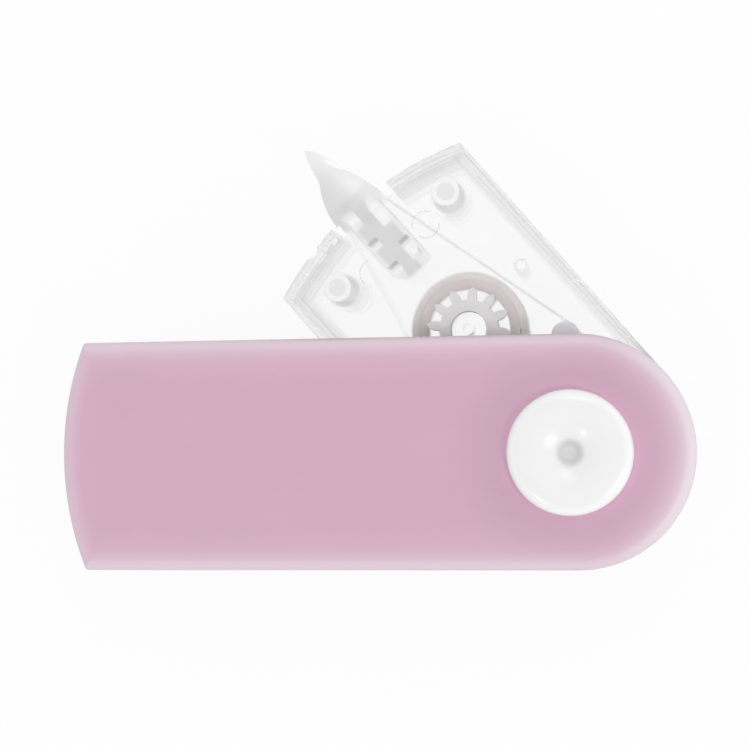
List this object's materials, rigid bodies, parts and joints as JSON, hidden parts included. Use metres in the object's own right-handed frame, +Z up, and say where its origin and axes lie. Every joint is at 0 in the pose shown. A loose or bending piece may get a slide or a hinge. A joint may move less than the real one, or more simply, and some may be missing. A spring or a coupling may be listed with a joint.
{
  "type": "correction tape",
  "caption": "Pocket correction tape: a clear cartridge with geared reels and a white applicator beak swivels out of a milky pink U-shaped cover about a domed white pivot cap.",
  "frame": {"origin": "centre of the cover's flat back face, on the surface that the object lies on", "axes": "+X along the cover towards its round end and the pivot, +Z up through the pivot towards the domed cap"},
  "size_m": [0.062, 0.0416, 0.0148],
  "materials": {
    "cover_pink": "milky translucent pink, satin",
    "cap_white": "glossy white",
    "rear_cap_white": "glossy white",
    "casing_front_clear": "clear, polished",
    "casing_rear_clear": "clear, polished",
    "head_white": "white, satin",
    "tape_white": "matt white coating on film",
    "film_clear": "bare translucent film",
    "supply_gear_white": "white, satin",
    "washer_grey": "matt dark grey",
    "supply_core_white": "white, satin",
    "tape_roll_white": "matt white wound tape",
    "idler_white": "white, satin",
    "take_up_gear_white": "white, satin",
    "take_up_core_grey": "warm grey, satin",
    "film_roll_grey": "wound translucent film",
    "roller_grey": "grey, satin"
  },
  "bodies": {
    "cover": {"cover_shell": "cover_pink", "pivot_cap_front": "cap_white", "pivot_cap_rear": "rear_cap_white"},
    "cartridge": {"casing_front": "casing_front_clear", "casing_rear": "casing_rear_clear", "tape_head": "head_white", "supply_tape": "tape_white", "used_film": "film_clear"},
    "supply_reel": {"supply_core": "supply_core_white", "supply_tape_roll": "tape_roll_white"},
    "supply_drive": {"supply_gear": "supply_gear_white", "clutch_washer": "washer_grey"},
    "idler": {"idler_gear": "idler_white"},
    "take_up_reel": {"take_up_gear": "take_up_gear_white", "take_up_core": "take_up_core_grey", "used_film_roll": "film_roll_grey"},
    "guide": {"guide_roller": "roller_grey"}
  },
  "joints": [
    {"name": "cartridge_swivel", "type": "hinge", "parent": "cover", "child": "cartridge", "pos_m": [0.0191, 0, 0], "axis": [0, 0, 1], "continuous": true},
    {"name": "supply_spin", "type": "hinge", "parent": "cartridge", "child": "supply_reel", "pos_m": [0.0191, 0, 0], "axis": [0, 0, 1], "continuous": true},
    {"name": "supply_gear_spin", "type": "hinge", "parent": "cartridge", "child": "supply_drive", "pos_m": [0.0191, 0, 0], "axis": [0, 0, 1], "continuous": true},
    {"name": "idler_spin", "type": "hinge", "parent": "cartridge", "child": "idler", "pos_m": [0.01051, 0.0055, 0], "axis": [0, 0, 1], "continuous": true},
    {"name": "take_up_spin", "type": "hinge", "parent": "cartridge", "child": "take_up_reel", "pos_m": [0.00945, 0.01202, 0], "axis": [0, 0, 1], "continuous": true},
    {"name": "guide_spin", "type": "hinge", "parent": "cartridge", "child": "guide", "pos_m": [0.01879, 0.01133, 0], "axis": [0, 0, 1], "continuous": true}
  ],
  "couplings": [
    {"joint": "supply_gear_spin", "follows": "supply_spin", "ratio": 1},
    {"joint": "idler_spin", "follows": "supply_spin", "ratio": -2.4},
    {"joint": "take_up_spin", "follows": "supply_spin", "ratio": 2},
    {"joint": "guide_spin", "follows": "supply_spin", "ratio": 7.6364}
  ]
}
